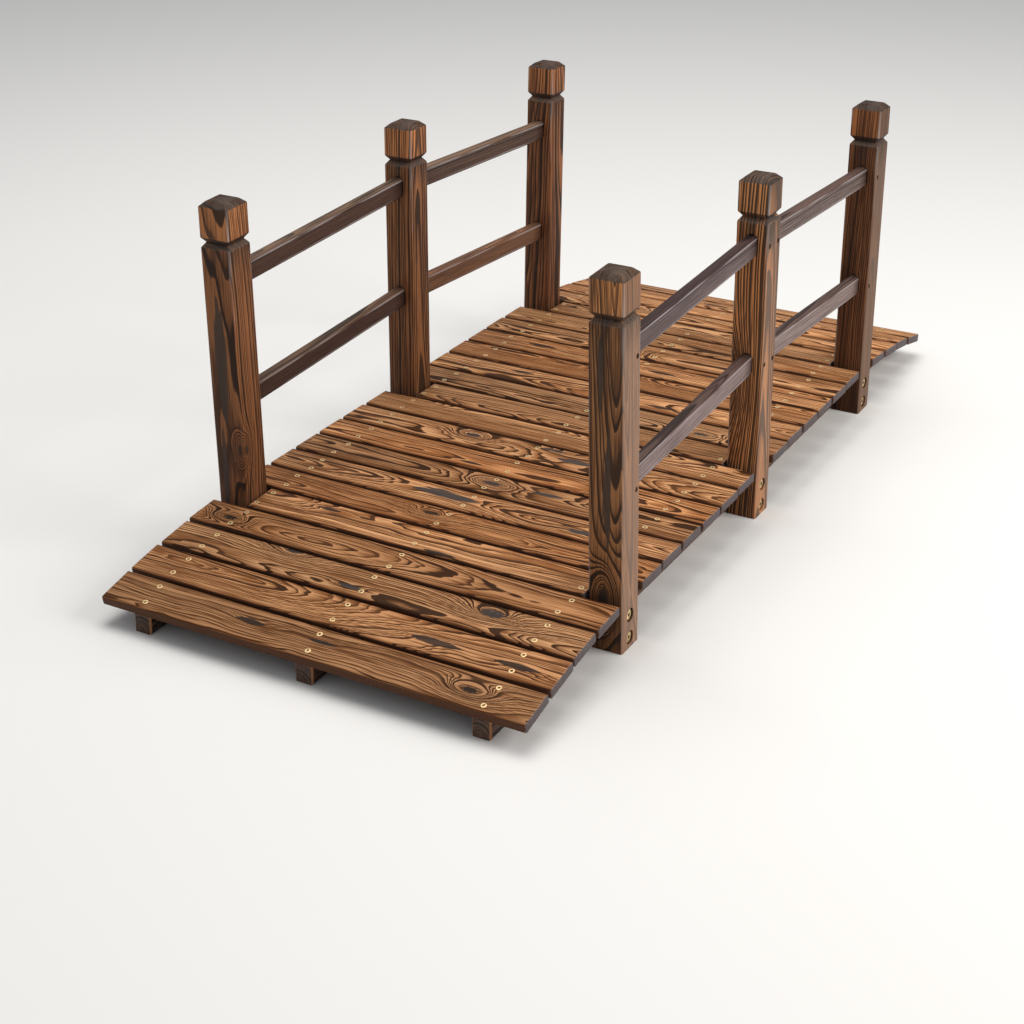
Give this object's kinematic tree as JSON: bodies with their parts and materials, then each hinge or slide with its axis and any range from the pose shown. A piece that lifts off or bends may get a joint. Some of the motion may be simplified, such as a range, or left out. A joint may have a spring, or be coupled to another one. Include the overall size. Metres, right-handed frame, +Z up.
{
  "type": "wooden garden footbridge",
  "caption": "Low wooden garden footbridge with a cross-planked deck that bends down at both ends, square capped posts and sloping rails along each side.",
  "frame": {"origin": "middle of the footprint, on the ground", "axes": "+X along the walkway, +Y across it to the left, +Z up"},
  "size_m": [1.5044, 0.66, 0.5372],
  "materials": {
    "plank_wood": "torched and brushed softwood, oiled orange brown with charred grain",
    "stringer_wood": "dark stained softwood",
    "post_wood": "torched and brushed softwood, oiled brown with charred grain",
    "rail_wood": "darker grey brown stained softwood",
    "plated_steel": "yellow zinc-plated steel bolts"
  },
  "bodies": {
    "root": {"plank_01": "plank_wood", "plank_02": "plank_wood", "plank_03": "plank_wood", "plank_04": "plank_wood", "plank_05": "plank_wood", "plank_06": "plank_wood", "plank_07": "plank_wood", "plank_08": "plank_wood", "plank_09": "plank_wood", "plank_10": "plank_wood", "plank_11": "plank_wood", "plank_12": "plank_wood", "plank_13": "plank_wood", "plank_14": "plank_wood", "plank_15": "plank_wood", "plank_16": "plank_wood", "plank_17": "plank_wood", "plank_18": "plank_wood", "plank_19": "plank_wood", "plank_20": "plank_wood", "plank_21": "plank_wood", "plank_22": "plank_wood", "plank_23": "plank_wood", "stringer_left": "stringer_wood", "stringer_middle": "stringer_wood", "stringer_right": "stringer_wood", "post_near_left": "post_wood", "post_middle_left": "post_wood", "post_far_left": "post_wood", "rail_upper_near_left": "rail_wood", "rail_upper_far_left": "rail_wood", "rail_lower_near_left": "rail_wood", "rail_lower_far_left": "rail_wood", "bolts_left": "plated_steel", "post_near_right": "post_wood", "post_middle_right": "post_wood", "post_far_right": "post_wood", "rail_upper_near_right": "rail_wood", "rail_upper_far_right": "rail_wood", "rail_lower_near_right": "rail_wood", "rail_lower_far_right": "rail_wood", "bolts_right": "plated_steel"}
  },
  "joints": []
}
